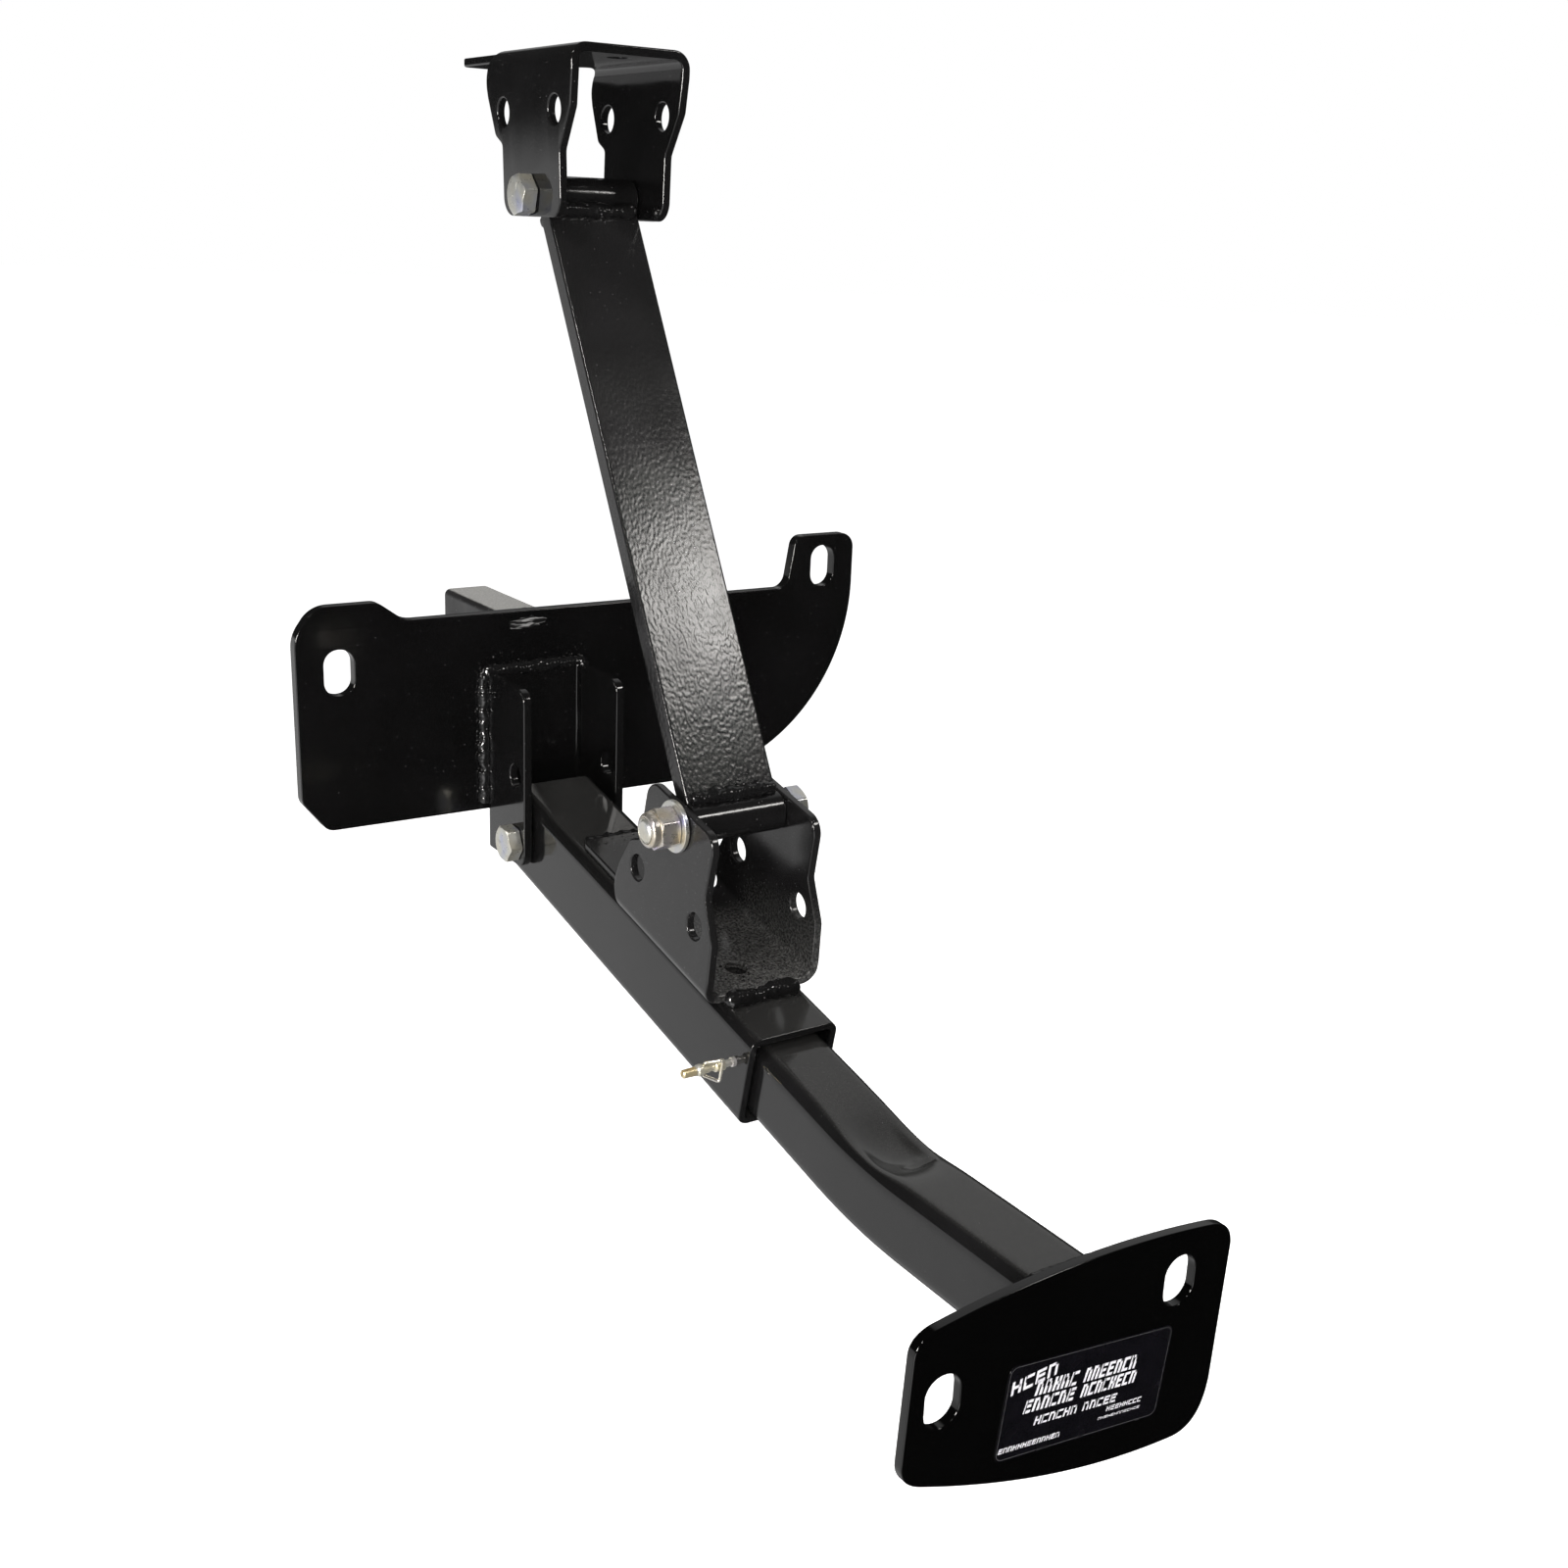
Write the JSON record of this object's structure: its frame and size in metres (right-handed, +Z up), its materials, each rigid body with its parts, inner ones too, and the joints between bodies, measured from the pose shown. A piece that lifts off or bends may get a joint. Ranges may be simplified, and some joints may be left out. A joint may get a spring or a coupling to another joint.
{
  "type": "truck camper tie-down arm",
  "caption": "Hinged, telescoping steel tie-down arm: a notched frame plate with a hinge channel, a cranked square tube sliding in another, a slotted end plate, and a braced U-bracket.",
  "frame": {"origin": "on the frame plate's rear face, in the middle plane of the hinge, 58 mm above the hinge bolt", "axes": "+Y out of the frame plate's rear face towards the truck's frame, +Z up, +X across the arm to the right as seen from the end plate"},
  "size_m": [0.4664, 0.7287, 0.7281],
  "materials": {
    "black_paint": "gloss black powder coat",
    "painted_weld": "gloss black over rough weld",
    "zinc_plate": "zinc plated, faintly yellow",
    "yellow_zinc": "yellow zinc plated",
    "label_vinyl": "gloss black sticker"
  },
  "bodies": {
    "frame": {"frame_plate": "black_paint", "spacer_tube": "black_paint", "spacer_tube_weld": "painted_weld", "hinge_channel": "black_paint", "hinge_channel_weld": "painted_weld", "hinge_bolt": "zinc_plate"},
    "main_arm": {"main_tube": "black_paint", "pivot_sleeve": "black_paint", "lower_bracket": "black_paint", "lower_bracket_front_weld": "painted_weld", "lower_bracket_rear_weld": "painted_weld", "lower_bolt": "zinc_plate", "lower_washer": "zinc_plate", "lower_nut": "zinc_plate"},
    "slide": {"slide_tube": "black_paint", "end_plate": "black_paint", "end_plate_weld": "painted_weld", "label": "label_vinyl"},
    "brace": {"brace_bar": "black_paint", "lower_bush": "black_paint", "upper_bush": "black_paint", "lower_bush_front_weld": "painted_weld", "lower_bush_rear_weld": "painted_weld", "upper_bush_front_weld": "painted_weld", "upper_bush_rear_weld": "painted_weld"},
    "upper_mount": {"upper_bracket": "black_paint", "upper_bolt": "zinc_plate", "upper_nut": "zinc_plate"},
    "lock_pin": {"lock_pin": "yellow_zinc"},
    "lock_clip": {"lock_clip": "yellow_zinc"}
  },
  "joints": [
    {"name": "main_hinge", "type": "hinge", "parent": "frame", "child": "main_arm", "pos_m": [0, -0.0618, -0.058], "axis": [1, 0, 0], "range_deg": [-25, 45]},
    {"name": "arm_slide", "type": "slide", "parent": "main_arm", "child": "slide", "axis": [0, -0.9781, -0.2079], "range_m": [0, 0.08]},
    {"name": "brace_pivot", "type": "hinge", "parent": "main_arm", "child": "brace", "pos_m": [0, -0.28884, 0.02271], "axis": [1, 0, 0], "range_deg": [-25, 120]},
    {"name": "upper_pivot", "type": "hinge", "parent": "brace", "child": "upper_mount", "pos_m": [0, -0.08731, 0.38778], "axis": [1, 0, 0], "range_deg": [-60, 60]},
    {"name": "pin_pull", "type": "slide", "parent": "main_arm", "child": "lock_pin", "axis": [-1, 0, 0], "range_m": [0, 0.045]},
    {"name": "clip_flip", "type": "hinge", "parent": "lock_pin", "child": "lock_clip", "pos_m": [-0.05325, -0.35055, -0.1112], "axis": [0, 0.2079, -0.9781], "range_deg": [0, 110]}
  ]
}
